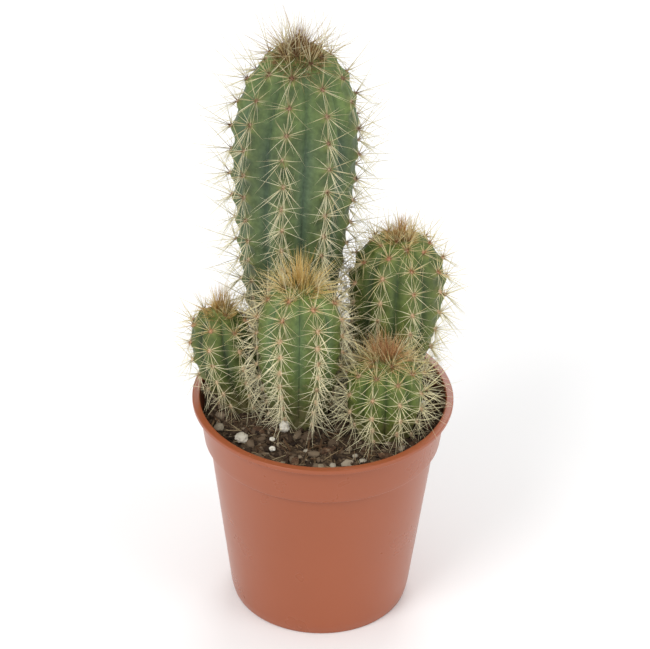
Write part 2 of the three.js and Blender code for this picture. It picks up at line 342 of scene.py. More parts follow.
def rounded_profile(corners):
    """The profile's points with each corner turned into a short arc."""
    out = []
    for i, (r, z, size) in enumerate(corners):
        here = np.array([r, z], float)
        if size == 0 or i in (0, len(corners) - 1):
            out.append(here)
            continue
        before = np.array(corners[i - 1][:2]) - here
        after = np.array(corners[i + 1][:2]) - here
        cut = min(size, 0.48 * np.linalg.norm(before), 0.48 * np.linalg.norm(after))
        a, b = here + unit(before) * cut, here + unit(after) * cut
        for t in np.linspace(0, 1, 6):
            out.append((1 - t) ** 2 * a + 2 * t * (1 - t) * here + t * t * b)
    return np.array(out)


def pot_look():
    look = Look("terracotta_plastic", 0.36, 0.45)
    cloud = look.noise(9, 3)
    body = look.ramp(cloud, [(0.3, srgb(151, 80, 48)), (0.7, srgb(159, 85, 52))])
    # painted shade: the inner wall is darkened to stand for the shade inside the pot
    painted_inner_shade = look.times(body, (0.52, 0.50, 0.50))
    look.colour(look.mix(look.attribute("inner"), body, painted_inner_shade))
    wear = look.noise(30, 4, 0.6)
    look.rough(look.math("ADD", look.math("MULTIPLY", wear, 0.14), 0.22))
    look.bump(look.noise(45, 2), 0.06, 0.0004)
    return look.material


def make_pot():
    low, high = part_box("pot")
    scale = (high.x - low.x) / MM / POT_WIDTH
    profile = rounded_profile(POT_PROFILE) * scale
    lengths = np.linalg.norm(np.diff(profile, axis=0), axis=1)
    fine = [profile[0]]
    for p, q, length in zip(profile[:-1], profile[1:], lengths):
        steps = max(1, int(length / 3.0))
        fine += [p + (q - p) * (k + 1) / steps for k in range(steps)]
    fine = np.array(fine)
    angles = full_turn(POT_SIDES)
    rows = np.stack([
        fine[:, :1] * np.cos(angles), fine[:, :1] * np.sin(angles), np.repeat(fine[:, 1:2], POT_SIDES, 1),
    ], -1)
    outer = np.argmax(fine[:, 1] >= fine[:, 1].max() - 0.01)
    # the inner wall's rows below the rim, which get the pot's painted shade
    inner = (np.arange(len(fine)) > outer) & (fine[:, 1] < fine[:, 1].max() - INNER_FROM)
    pot = grid_solid(
        "pot_shell", rows, pot_look(), {"inner": np.repeat(inner[:, None] * 1.0, POT_SIDES, 1)},
        *(np.array([0, 0, z]) for z in FLOOR_CENTRES))
    cutters = Batch()
    for hole in range(DRAIN_HOLES):
        turn = (hole + 0.5) * TAU / DRAIN_HOLES
        ring = full_turn(DRAIN_SIDES)
        x = DRAIN_CIRCLE_R * math.cos(turn) + DRAIN_R * np.cos(ring)
        y = DRAIN_CIRCLE_R * math.sin(turn) + DRAIN_R * np.sin(ring)
        points = np.concatenate([np.stack([x, y, np.full(DRAIN_SIDES, z)], -1) for z in DRAIN_CUT])
        j = np.arange(DRAIN_SIDES)
        k = (j + 1) % DRAIN_SIDES
        faces = [
            np.stack([j, k, k + DRAIN_SIDES, j + DRAIN_SIDES], -1), np.stack([j[::-1], j + DRAIN_SIDES])]
        cutters.add(points, faces, [np.zeros((*face_set.shape, 2)) for face_set in faces])
    cutter = cutters.build("drain_cutter", pot.data.materials[0])
    modifier = pot.modifiers.new("drain", "BOOLEAN")
    modifier.operation = "DIFFERENCE"
    modifier.solver = "EXACT"
    modifier.object = cutter
    graph = bpy.context.evaluated_depsgraph_get()
    holed = bpy.data.meshes.new_from_object(pot.evaluated_get(graph))
    pot.modifiers.clear()
    while holed.uv_layers:
        holed.uv_layers.remove(holed.uv_layers[0])
    pot.data = holed
    bpy.data.objects.remove(cutter)
    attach(pot, "root")
    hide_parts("pot")


# ---- stems

SHAPE_STEP = 0.75  # mm between the skin's rings
SLICES = 150  # cuts through a stem's solid
TURNS = full_turn(360)
SMOOTHING = 2.6  # mm
RIB_DEPTH = 0.175  # of the crest's radius
RIB_FADE = 12.0  # mm over which the ribs deepen above the mix
GROOVE_POWER = 0.72  # below 1 the grooves are sharper than the crests
SWELL = 0.08  # of the gap between areoles
SWELL_POWER = 5  # how closely a swelling keeps to its crest
BURIED = 14.0  # mm of areoles below the mix, so that the rows run out of it evenly
UNEVEN = 0.6  # mm by which one rib differs from the next

# Per stem: ribs; areole spacing near the mix and near the top, and lengths of the side, lower and central
# spines and of the extra ones hanging from old areoles (all mm); how many there are of each; their
# thickness as a share of the usual one ("stout"); the felt cushions' sizes; the crown's reach (mm) and the
# share by which it reaches further down the front ("forward"); how much browner the central spines are
# than the rest ("dusk"); the crown's groups (see make_crown); and the colours of the skin, the spines
# (young, full-grown and their roots) and the crown ("tuft").
# The groove colours are partly the skin's own hue and partly painted shade in the grooves.
STEMS = {
    "tall": dict(
        ribs=9, spacing=(10.0, 12.5), side=(10, 17), lower=(13, 22), central=(16, 28), hanging=(11, 21),
        radials=10, centrals=4, hangers=7, sprouts=4, stout=0.72, felt=(0.65, 0.9),
        crown_reach=9.5, forward=0.7, dusk=0.62, seed=3,
        crown=[
            (2200, (1.5, 4.5), (0.08, 0.12), (0, 75), (0.0, 1.08), (0.08, 0.42), 0.42),
            (230, (4.0, 8.5), (0.09, 0.13), (0, 45), (0.0, 0.7), (0.10, 0.52), 0.16),
            (110, (8.0, 14.5), (0.12, 0.17), (0, 14), (0.0, 0.26), (0.0, 0.30), 0.05),
            (60, (14, 25), (0.11, 0.15), (2, 50), (0.0, 0.8), (0.34, 0.9), 0.06),
            (64, (20, 30), (0.12, 0.16), (10, 76), (0.2, 1.1), (0.20, 0.62), 0.06),
        ],
        groove=srgb(88, 108, 84), flank=srgb(91, 108, 68), top=srgb(102, 123, 60), low=srgb(68, 71, 47),
        young=srgb(150, 110, 82), pale=srgb(222, 213, 168), root=srgb(138, 96, 74),
        tuft=(srgb(118, 72, 34), srgb(160, 128, 84), srgb(204, 176, 120), srgb(228, 212, 162)),
    ),
    "front": dict(
        ribs=7, spacing=(8.0, 9.5), side=(11, 16), lower=(12, 19), central=(11, 17), hanging=(10, 18),
        radials=15, centrals=4, hangers=3, sprouts=7, stout=0.80, felt=(0.8, 1.1),
        crown_reach=9.5, forward=0.1, dusk=0.25, seed=11,
        crown=[
            (300, (3.0, 7.0), (0.08, 0.12), (0, 70), (0.0, 1.0), (0.45, 0.9), 0.25),
            (170, (12, 22), (0.12, 0.18), (3, 74), (0.0, 1.0), (0.45, 1.0), 0.06),
            (44, (14, 23), (0.13, 0.19), (0, 18), (0.0, 0.4), (0.15, 0.75), 0.04),
        ],
        groove=srgb(100, 122, 78), flank=srgb(97, 113, 57), top=srgb(105, 127, 61), low=srgb(98, 102, 60),
        young=srgb(214, 166, 116), pale=srgb(236, 226, 178), root=srgb(190, 140, 108),
        tuft=(srgb(176, 130, 64), srgb(208, 168, 92), srgb(232, 202, 124), srgb(242, 228, 176)),
    ),
    "back_right": dict(
        ribs=9, spacing=(8.5, 10.5), side=(9, 15), lower=(11, 18), central=(10, 16), hanging=(10, 17),
        radials=13, centrals=4, hangers=3, sprouts=4, stout=0.78, felt=(0.7, 1.0),
        crown_reach=6.5, forward=0.1, dusk=0.35, seed=23,
        crown=[
            (260, (2.5, 5.5), (0.08, 0.12), (0, 75), (0.0, 1.0), (0.35, 0.8), 0.3),
            (90, (8, 15), (0.12, 0.17), (2, 62), (0.0, 1.0), (0.4, 1.0), 0.06),
            (44, (10, 16), (0.14, 0.19), (0, 16), (0.0, 0.45), (0.0, 0.5), 0.05),
        ],
        groove=srgb(76, 93, 54), flank=srgb(94, 109, 54), top=srgb(104, 122, 55), low=srgb(90, 92, 50),
        young=srgb(206, 154, 108), pale=srgb(232, 221, 168), root=srgb(186, 128, 98),
        tuft=(srgb(166, 112, 58), srgb(194, 150, 88), srgb(222, 190, 124), srgb(236, 220, 170)),
    ),
    "front_right": dict(
        ribs=9, spacing=(8.5, 10.0), side=(11, 18), lower=(12, 19), central=(12, 19), hanging=(10, 17),
        radials=13, centrals=4, hangers=2, sprouts=5, stout=0.80, felt=(0.75, 1.05),
        crown_reach=9.0, forward=0.1, dusk=0.3, seed=37,
        crown=[
            (300, (3.0, 6.5), (0.08, 0.12), (0, 75), (0.0, 1.0), (0.3, 0.8), 0.25),
            (140, (10, 18), (0.12, 0.17), (4, 76), (0.1, 1.0), (0.35, 1.0), 0.07),
            (84, (10, 18), (0.13, 0.18), (0, 34), (0.0, 0.55), (0.0, 0.5), 0.05),
        ],
        groove=srgb(80, 100, 46), flank=srgb(94, 111, 46), top=srgb(104, 121, 52), low=srgb(98, 101, 46),
        young=srgb(200, 152, 104), pale=srgb(224, 214, 152), root=srgb(184, 136, 104),
        tuft=(srgb(164, 102, 62), srgb(190, 136, 88), srgb(218, 182, 126), srgb(234, 218, 170)),
    ),
    "left": dict(
        ribs=7, spacing=(8.5, 9.5), side=(9, 15), lower=(11, 18), central=(10, 16), hanging=(10, 17),
        radials=12, centrals=3, hangers=2, sprouts=5, stout=0.76, felt=(0.7, 1.0),
        crown_reach=6.5, forward=0.1, dusk=0.3, seed=51,
        crown=[
            (260, (2.5, 5.5), (0.08, 0.12), (0, 75), (0.0, 1.0), (0.35, 0.8), 0.25),
            (80, (8, 15), (0.12, 0.17), (2, 60), (0.0, 1.0), (0.3, 1.0), 0.06),
            (34, (11, 18), (0.13, 0.17), (0, 14), (0.0, 0.35), (0.1, 0.6), 0.05),
        ],
        groove=srgb(63, 78, 46), flank=srgb(83, 98, 46), top=srgb(102, 121, 50), low=srgb(84, 84, 44),
        young=srgb(206, 156, 100), pale=srgb(226, 212, 154), root=srgb(188, 136, 100),
        tuft=(srgb(168, 120, 58), srgb(196, 154, 88), srgb(220, 188, 120), srgb(234, 216, 164)),
    ),
}


class Stem:
    """The shape of one stem, measured on its CAD solid: a centre line, crest radius and rib angle."""

    def __init__(self, name, spec, soil_z):
        self.name, self.spec, self.ribs = name, spec, spec["ribs"]
        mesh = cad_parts[f"{name}_stem"].data
        mesh.calc_loop_triangles()
        points = np.array([v.co for v in mesh.vertices]) / MM
        corners = points[np.array([t.vertices for t in mesh.loop_triangles])]
        top = points[np.argmax(points[:, 2])]
        foot, tip = soil_z - 4, top[2] - 0.15
        levels = foot + (tip - foot) * np.sin(np.linspace(0, 1, SLICES) * math.pi / 2) ** 0.9
        centres, crests, waves = [], [], []
        for level in levels:
            centre, angle, radius = self.slice(corners, level)
            spread = np.interp(TURNS, angle, radius, period=TAU)
            centres.append(centre)
            crests.append(radius.max())
            waves.append((spread * np.exp(-1j * self.ribs * TURNS)).mean())
        middle = slice(30, 100)  # the cuts away from the foot and the dome
        self.phase = -np.angle(np.sum(np.array(waves)[middle])) / self.ribs
        centres = np.array(centres + [top[:2]])
        crests = np.array(crests + [0.0])
        levels = np.append(levels, top[2])
        arc = np.concatenate([[0], np.cumsum(np.hypot(np.diff(crests), np.diff(levels)))])
        count = int(arc[-1] / SHAPE_STEP) + 1
        even = np.linspace(0, arc[-1], count)
        reach = SMOOTHING / (even[1] - even[0])
        self.z = blur(np.interp(even, arc, levels), reach, 1)
        self.crest = np.maximum(blur(np.interp(even, arc, crests), reach, -1), 0)
        self.x = blur(np.interp(even, arc, centres[:, 0]), 2 * reach, 1)
        self.y = blur(np.interp(even, arc, centres[:, 1]), 2 * reach, 1)
        self.arc = even
        self.length = even[-1]
        self.soil_arc = float(np.interp(soil_z, self.z, even))
        self.widest = self.crest.max()

    @staticmethod
    def slice(corners, level):
        """Cuts the solid's triangles at a height and returns the outline's centre, angles and radii."""
        above = corners[:, :, 2] > level
        ends = []
        for a, b in ((0, 1), (1, 2), (2, 0)):
            crossing = above[:, a] != above[:, b]
            p, q = corners[crossing, a], corners[crossing, b]
            share = (level - p[:, 2]) / (q[:, 2] - p[:, 2])
            ends.append((p + (q - p) * share[:, None])[:, :2])
        outline = np.concatenate(ends)
        centre = outline.mean(0)
        for _ in range(3):
            offset = outline - centre
            angle = np.arctan2(offset[:, 1], offset[:, 0])
            order = np.argsort(angle)
            radius = np.hypot(*offset.T)
            even = full_turn(180)
            spread = np.interp(even, angle[order], radius[order], period=TAU)
            centre = centre + 0.67 * np.array([
                (spread ** 3 * np.cos(even)).sum(), (spread ** 3 * np.sin(even)).sum(),
            ]) / (spread ** 2).sum()
        return centre, angle[order], radius[order]

    def rib_depth(self, arc):
        return RIB_DEPTH * smoothstep((arc - self.soil_arc) / RIB_FADE + 0.5) * (
            0.25 + 0.75 * smoothstep((self.length - arc) / (0.8 * self.widest)))

    def surface(self, arc, turn):
        """Points on the skin. arc is the distance along the crest, turn the angle round the stem."""
        phi = self.ribs * (turn - self.phase)
        crestness = np.abs(np.cos(phi / 2))
        swell = self.crest_swell(arc, turn)
        crest = np.interp(arc, self.arc, self.crest)
        radius = crest * (1 - self.rib_depth(arc) * (1 - crestness ** GROOVE_POWER))
        radius = radius + swell * crestness ** SWELL_POWER * np.minimum(crest / 5, 1)
        return np.stack([
            np.interp(arc, self.arc, self.x) + radius * np.cos(turn),
            np.interp(arc, self.arc, self.y) + radius * np.sin(turn),
            np.interp(arc, self.arc, self.z),
        ], -1)

    def crest_swell(self, arc, turn):
        """The notched line of a crest: proud just under each areole and pinched above it."""
        rib = np.round((turn - self.phase) / (TAU / self.ribs)).astype(int) % self.ribs
        out = np.zeros(np.broadcast(arc, turn).shape)
        arc, rib = np.broadcast_to(arc, out.shape), np.broadcast_to(rib, out.shape)
        for k, places in enumerate(self.areoles):
            on = rib == k
            gap = np.interp(arc[on], places[:-1], np.diff(places))
            behind = places[np.clip(np.searchsorted(places, arc[on]) - 1, 0, len(places) - 2)]
            share = (arc[on] - behind) / gap
            wave = np.cos(TAU * (share + 0.10)) + 0.35 * np.cos(2 * TAU * (share + 0.10))
            out[on] = SWELL * gap * (wave - 0.55)
        return out

    def set_areoles(self, roll):
        """Distances along each crest at which areoles sit, from below the soil to the crown."""
        low, high = self.spec["spacing"]
        self.areoles = []
        for k in range(self.ribs):
            at = self.soil_arc - BURIED + (0.5 * low if k % 2 else 0) + roll.uniform(-0.15, 0.15) * low
            places = [at]
            while at < self.length - 1.5:
                share = (at - self.soil_arc) / (self.length - self.soil_arc)
                gap = low + (high - low) * smoothstep(share / 0.8)
                gap *= 0.28 + 0.72 * smoothstep((self.length - at - 1) / (0.75 * self.widest))
                at += gap * roll.uniform(0.93, 1.07)
                places.append(at)
            self.areoles.append(np.array(places))

    def frame_at(self, arc, turn):
        """Point, outward normal and the direction up the stem on the skin."""
        step = 0.4
        here = self.surface(arc, turn)
        up = self.surface(arc + step, turn) - self.surface(arc - step, turn)
        round_ = self.surface(arc, turn + 0.03) - self.surface(arc, turn - 0.03)
        up = unit(up)
        outward = unit(np.cross(round_, up))
        return here, outward, up


def skin_look(name, spec):
    look = Look(f"{name}_skin", 0.55, 0.35)
    rib, age, near = look.attribute("rib"), look.attribute("age"), look.attribute("near_areole")
    cloud = look.noise(70, 4, 0.6)
    fine = look.noise(420, 5, 0.65)
    # the groove colour is partly the skin's own hue and partly painted shade in the grooves
    body = look.mix(look.ramp(rib, [(0.10, BLACK), (0.65, WHITE)]), spec["groove"], spec["flank"])
    lift = look.math("ADD", age, look.math("MULTIPLY", look.math("SUBTRACT", cloud, 0.5), 0.35))
    body = look.mix(look.ramp(lift, [(0.0, WHITE), (0.30, BLACK)]), body, spec["top"])
    body = look.mix(look.ramp(lift, [(0.60, BLACK), (1.0, WHITE)]), body, spec["low"])
    patch = look.ramp(look.noise(38, 5, 0.65), [(0.35, (0.69, 0.70, 0.69)), (0.65, (1.11, 1.10, 1.07))])
    body = look.times(body, patch)
    grain = look.ramp(fine, [(0.36, (0.74, 0.76, 0.74)), (0.62, (1.16, 1.15, 1.14))])
    body = look.times(body, grain)
    # painted shade: a thin dark line along the bottom of each groove
    painted_groove_shade = look.ramp(rib, [(0.0, (0.45, 0.48, 0.46)), (0.035, (0.80, 0.82, 0.80)), (0.09, WHITE)])
    body = look.times(body, painted_groove_shade)
    worn = look.ramp(
        look.math("MULTIPLY", look.noise(260, 6, 0.7), look.math("ADD", age, 0.25)),
        [(0.50, BLACK), (0.62, WHITE)],
    )
    body = look.mix(look.math("MULTIPLY", worn, 0.45), body, srgb(140, 128, 92))
    body = look.mix(look.math("MULTIPLY", near, 0.55), body, srgb(150, 150, 96))
    # painted light and shade: lighter on the swelling under each areole, darker in the pinch above it
    knob_light_and_shade = look.ramp(look.attribute("knob"), [
        (0.10, (0.66, 0.70, 0.68)), (0.42, WHITE), (0.60, WHITE), (0.95, (1.18, 1.14, 0.98))])
    body = look.times(body, knob_light_and_shade)
    look.colour(body)
    look.shader.inputs["Subsurface Weight"].default_value = 0.08
    look.shader.inputs["Subsurface Radius"].default_value = (0.9, 1.0, 0.4)
    look.shader.inputs["Subsurface Scale"].default_value = 0.002
    first = look.bump(look.noise(1500, 3, 0.6), 0.35, 0.00012)
    look.bump(look.noise(240, 4, 0.6), 0.35, 0.0004, first)
    return look.material


def make_skin(stem):
    arcs = stem.arc[stem.crest > 0.25]
    per_rib = int(max(18, stem.widest * 1.15))
    turns = stem.phase + full_turn(stem.ribs * per_rib)
    arc, turn = np.meshgrid(arcs, turns, indexing="ij")
    rows = stem.surface(arc, turn)
    crestness = np.abs(np.cos(stem.ribs * (turn - stem.phase) / 2))
    # a little unevenness so no rib is a copy of its neighbour
    drift = 0.35 * np.sin(arc * 0.13 + 5 * np.sin(turn)) + 0.25 * np.sin(arc * 0.31 + 3 * turn)
    outward = unit(np.stack([np.cos(turn), np.sin(turn), np.zeros_like(turn)], -1))
    fade = smoothstep((stem.length - arc) / 14)[..., None]
    rows = rows + outward * (drift * crestness)[..., None] * fade * UNEVEN
    age = 1 - np.clip((arc - stem.soil_arc) / (stem.length - stem.soil_arc), 0, 1)
    near = np.zeros_like(arc)
    for k, places in enumerate(stem.areoles):
        at = stem.phase + k * TAU / stem.ribs
        side = (turn - at + math.pi) % TAU - math.pi
        crest = np.interp(arc, stem.arc, stem.crest)
        for place in places:
            distance = np.hypot((arc - place) / 2.6, side * crest / 2.2)
            near = np.maximum(near, np.exp(-distance ** 2))
    top = np.array([stem.x[-1], stem.y[-1], stem.z[-1]])
    swell = stem.crest_swell(arc, turn)
    # how far the crest swells or pinches, which sets the painted light and shade on the knobs
    knob = np.clip(0.5 + (swell + 0.44) / 2.6, 0, 1) * crestness ** 3 + 0.5 * (1 - crestness ** 3)
    piece = grid_solid(
        f"{stem.name}_skin", rows, skin_look(stem.name, stem.spec),
        {"rib": crestness, "age": age, "near_areole": near, "knob": knob}, top=top,
    )
    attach(piece, "root")
    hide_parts(f"{stem.name}_stem")


# ---- spines and felt

POT_INSIDE = [(85.6, 51.2), (87.7, 53.4), (105.9, 55.9), (108.0, 56.4)]  # height, radius, up to the rim
LIP_R = 60.0
CLEAR = 0.5  # mm between a needle and the pot's inner wall
CLEAR_LIP = 0.3  # mm over and beside the lip
ROOM = 12.5  # mm that a spine may reach past the CAD solids' box
ROOM_LOW = np.array(cad_low) / MM - ROOM
ROOM_HIGH = np.array(cad_high) / MM + ROOM
SHADES = 64  # columns of the colour chart; each needle or lump takes its colour from one of them


def clear_of_pot(base, heading, bend, length):
    """The lengths, cut so that no needle runs into the pot's wall or lip."""
    heights, inside = zip(*POT_INSIDE)
    kept, free = np.full(len(base), 0.05), np.ones(len(base), bool)
    for share in np.linspace(0.1, 1, 19):
        spot = base + (heading * share + bend * share ** 2) * length[:, None]
        radius = np.hypot(spot[:, 0], spot[:, 1])
        wall = np.interp(spot[:, 2], heights, inside)
        in_wall = (radius > wall - CLEAR) & (radius < LIP_R + CLEAR_LIP)
        free &= ~(in_wall & (spot[:, 2] < heights[-1] + CLEAR_LIP))
        kept[free] = share
    return length * kept


def shades_of(values):
    """Shades kept off the chart's first and last columns."""
    return np.clip(values, 0.02, 0.98)


def column(shade, share):
    """Chart positions inside a shade's column, with share running from 0 to 1 across it."""
    return (np.floor(np.clip(shade, 0, 0.999) * SHADES) + 0.15 + 0.7 * share) / SHADES


def chart(look):
    """The chart's sockets: the shade of the column (0 to 1) and the height up the needle."""
    uv = look.node("ShaderNodeUVMap", uv_map="spot_uv").outputs["UV"]
    split = look.node("ShaderNodeSeparateXYZ", {"Vector": uv})
    step = look.math("FLOOR", look.math("MULTIPLY", split.outputs["X"], float(SHADES)))
    return look.math("DIVIDE", look.math("ADD", step, 0.5), float(SHADES)), split.outputs["Y"]


def add_spines(batch, base, heading, bend, length, thick, shade, rings=4, sides=3, taper=0.85):
    """Tapered, slightly bent needles. base, heading and bend are (n, 3), the rest (n).

    A needle that would reach past the room around the plant, or into the pot, is cut short there.
    """
    count = len(base)
    reach = (heading + bend) * length[:, None]
    reach = np.where(np.abs(reach) < 1e-6, 1e-6, reach)
    room = np.where(reach > 0, ROOM_HIGH - base, ROOM_LOW - base) / reach
    length = clear_of_pot(base, heading, bend, length * np.clip(room.min(1), 0.05, 1))
    beside = np.where(np.abs(heading[:, 2:3]) > 0.9, [[1.0, 0, 0]], [[0, 0, 1.0]])
    across = unit(np.cross(heading, beside))
    other = np.cross(heading, across)
    points = np.empty((count, rings * sides + 1, 3))
    for i in range(rings):
        t = i / rings
        centre = base + heading * (length * t)[:, None] + bend * (length * t * t)[:, None]
        width = thick * (1 - t) ** taper
        for j in range(sides):
            turn = TAU * j / sides + 0.4 * i
            spot = centre + (across * math.cos(turn) + other * math.sin(turn)) * width[:, None]
            points[:, i * sides + j] = spot
    points[:, -1] = base + heading * length[:, None] + bend * length[:, None]
    last = (rings - 1) * sides
    pairs = [(j, (j + 1) % sides) for j in range(sides)]
    quads = np.array([
        (i + j, i + k, i + sides + k, i + sides + j) for i in range(0, last, sides) for j, k in pairs
    ]).reshape(-1, 4)
    tris = np.array([(last + j, last + k, last + sides) for j, k in pairs]
                    + [(0, j + 1, j) for j in range(1, sides - 1)])
    heights = np.append(np.repeat(np.arange(rings) / rings, sides), 1.0)
    tri_heights = heights[tris]
    tri_heights[sides:] = (-0.025, -0.025, 0.0)  # the needle's foot has its own strip of the chart
    offset = (np.arange(count) * (rings * sides + 1))[:, None, None]
    faces, uvs = [], []
    for shape, values, over in ((quads, heights[quads], [0, 1, 1, 0]), (tris, tri_heights, [0, 1, 0.5])):
        faces.append((shape[None] + offset).reshape(-1, shape.shape[1]))
        u = np.broadcast_to(column(shade[:, None, None], np.array(over)), (count, *values.shape))
        v = np.broadcast_to(0.03 + 0.94 * values, (count, *values.shape))
        uvs.append(np.stack([u, v], -1).reshape(-1, shape.shape[1], 2))
    batch.add(points.reshape(-1, 3), faces, uvs)


def add_blobs(batch, centre, axes, shade, roll, rough=0.12, form=None):
    """Small lumps. centre (n, 3), axes (n, 3, 3) with the half-size of each direction as its length."""
    ball, faces = form or BALL
    count = len(centre)
    wobble = 1 + rough * roll.uniform(-1, 1, (count, len(ball), 1))
    points = centre[:, None] + np.einsum("bk,nkd->nbd", ball, axes) * wobble
    offset = (np.arange(count) * len(ball))[:, None, None]
    tris = (faces[None] + offset).reshape(-1, 3)
    over = (0.5 + 0.5 * ball[:, 0])[faces][None]
    u = column(shade[:, None, None], over).reshape(-1, 3)
    v = np.broadcast_to((0.5 + 0.45 * ball[:, 2])[faces][None], (count, *faces.shape)).reshape(-1, 3)
    batch.add(points.reshape(-1, 3), [tris], [np.stack([u, v], -1)])


def icosphere(levels):
    made = bmesh.new()
    bmesh.ops.create_icosphere(made, subdivisions=levels, radius=1)
    made.verts.ensure_lookup_table()
    points = np.array([v.co for v in made.verts])
    faces = np.array([[v.index for v in f.verts] for f in made.faces])
    made.free()
    return points, faces


BALL = icosphere(2)
PEBBLE = icosphere(1)


def needle_look(name, young, pale, root, tip):
    """Needles: the shade runs from old (0) to young (1), the height from the base to the point."""
    look = Look(name, 0.5, 0.4)
    shade, height = chart(look)
    middle = tuple(0.4 * a + 0.6 * b for a, b in zip(young, pale))
    bleached = tuple(0.5 * a + 0.5 * b for a, b in zip(pale, srgb(255, 251, 226)))
    old = look.ramp(height, [
        (0.0, srgb(196, 156, 122)), (0.05, srgb(214, 184, 144)), (0.10, bleached), (0.8, bleached),
        (1.0, tip)])
    new = look.ramp(height, [
        (0.0, root), (0.06, young), (0.16, middle), (0.4, pale), (0.85, middle), (1.0, young)])
    body = look.mix(look.ramp(shade, [(0.30, BLACK), (0.90, WHITE)]), old, new)
    spread = look.math("FRACT", look.math("MULTIPLY", shade, 37.3))
    flicker = look.ramp(spread, [(0, (0.78, 0.75, 0.69)), (1, (1.20, 1.19, 1.17))])
    look.colour(look.times(body, flicker))
    return look.material


def shaded_look(name, roughness, specular, stops, tones):
    """Crumbs, fibres and crowns: the shade picks a colour, and the height sets its tone; on crumbs the
    tone is painted shade on their undersides.
    """
    look = Look(name, roughness, specular)
    shade, height = chart(look)
    look.colour(look.times(look.ramp(shade, stops), look.ramp(height, tones)))
    return look.material


def felt_look(name, dark, light):
    look = Look(name, 0.9, 0.2)
    shade, height = chart(look)
    tone = look.ramp(height, [(0.0, (0.62, 0.60, 0.58)), (0.6, WHITE), (1, (1.12, 1.12, 1.1))])
    look.colour(look.times(look.mix(shade, dark, light), tone))
    look.shader.inputs["Sheen Weight"].default_value = 0.2
    look.shader.inputs["Sheen Roughness"].default_value = 0.5
    return look.material


def make_spines(stem, roll):
    spec = stem.spec
    needles, felt = Batch(), Batch()
    for k, places in enumerate(stem.areoles):
        turn = stem.phase + k * TAU / stem.ribs
        for arc in places:
            if arc < stem.soil_arc + 1.5 or arc > stem.length - 0.62 * spec["crown_reach"]:
                continue
            spot = turn + roll.normal(0, 0.012)
            here, outward, up = stem.frame_at(np.array(arc), np.array(spot))
            side = np.cross(up, outward)
            left = stem.length - arc
            youth = float(smoothstep(1 - (left - 4) / (0.55 * (stem.length - stem.soil_arc))))
            small = float(0.55 + 0.45 * smoothstep(left / 14))
            add_areole(felt, spec, here, outward, up, side, small, youth, roll)
            kept = float(0.3 + 0.7 * smoothstep((arc - stem.soil_arc) / 17))
            add_cluster(needles, spec, here, outward, up, side, youth, left, kept, roll)
    spines = needles.build(
        f"{stem.name}_side_spines",
        needle_look(f"{stem.name}_spines", spec["young"], spec["pale"], spec["root"], srgb(186, 164, 124)))
    pads = felt.build(
        f"{stem.name}_areole_felt",
        felt_look(f"{stem.name}_felt", spec["root"], srgb(212, 192, 158)))
    for piece in (spines, pads):
        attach(piece, "root")


def add_areole(batch, spec, here, outward, up, side, small, youth, roll):
    """A cushion of felt with a few short woolly hairs."""
    size = roll.uniform(*spec["felt"]) * small
    axes = np.array([[side * size, up * size * 1.3, outward * size * 0.65]])
    shade = shades_of(0.80 - 0.55 * youth + roll.uniform(-0.2, 0.2))
    add_blobs(batch, (here + outward * 0.15)[None], axes, np.array([shade]), roll, 0.16)
    count = 14
    around = roll.uniform(0, TAU, count)
    spread = np.sqrt(roll.uniform(0, 1, count)) * size * 0.9
    base = here + side * (spread * np.cos(around))[:, None] + up * (spread * np.sin(around))[:, None]
    heading = unit(
        outward * roll.uniform(0.5, 1.2, (count, 1)) + side * (np.cos(around) * 0.8)[:, None]
        + up * (np.sin(around) * 0.8)[:, None] + roll.normal(0, 0.25, (count, 3)))
    add_spines(
        batch, base + outward * 0.1, heading, roll.normal(0, 0.25, (count, 3)),
        roll.uniform(0.8, 1.7, count) * small, np.full(count, 0.11),
        shades_of(shade + roll.uniform(-0.25, 0.25, count)), rings=2)


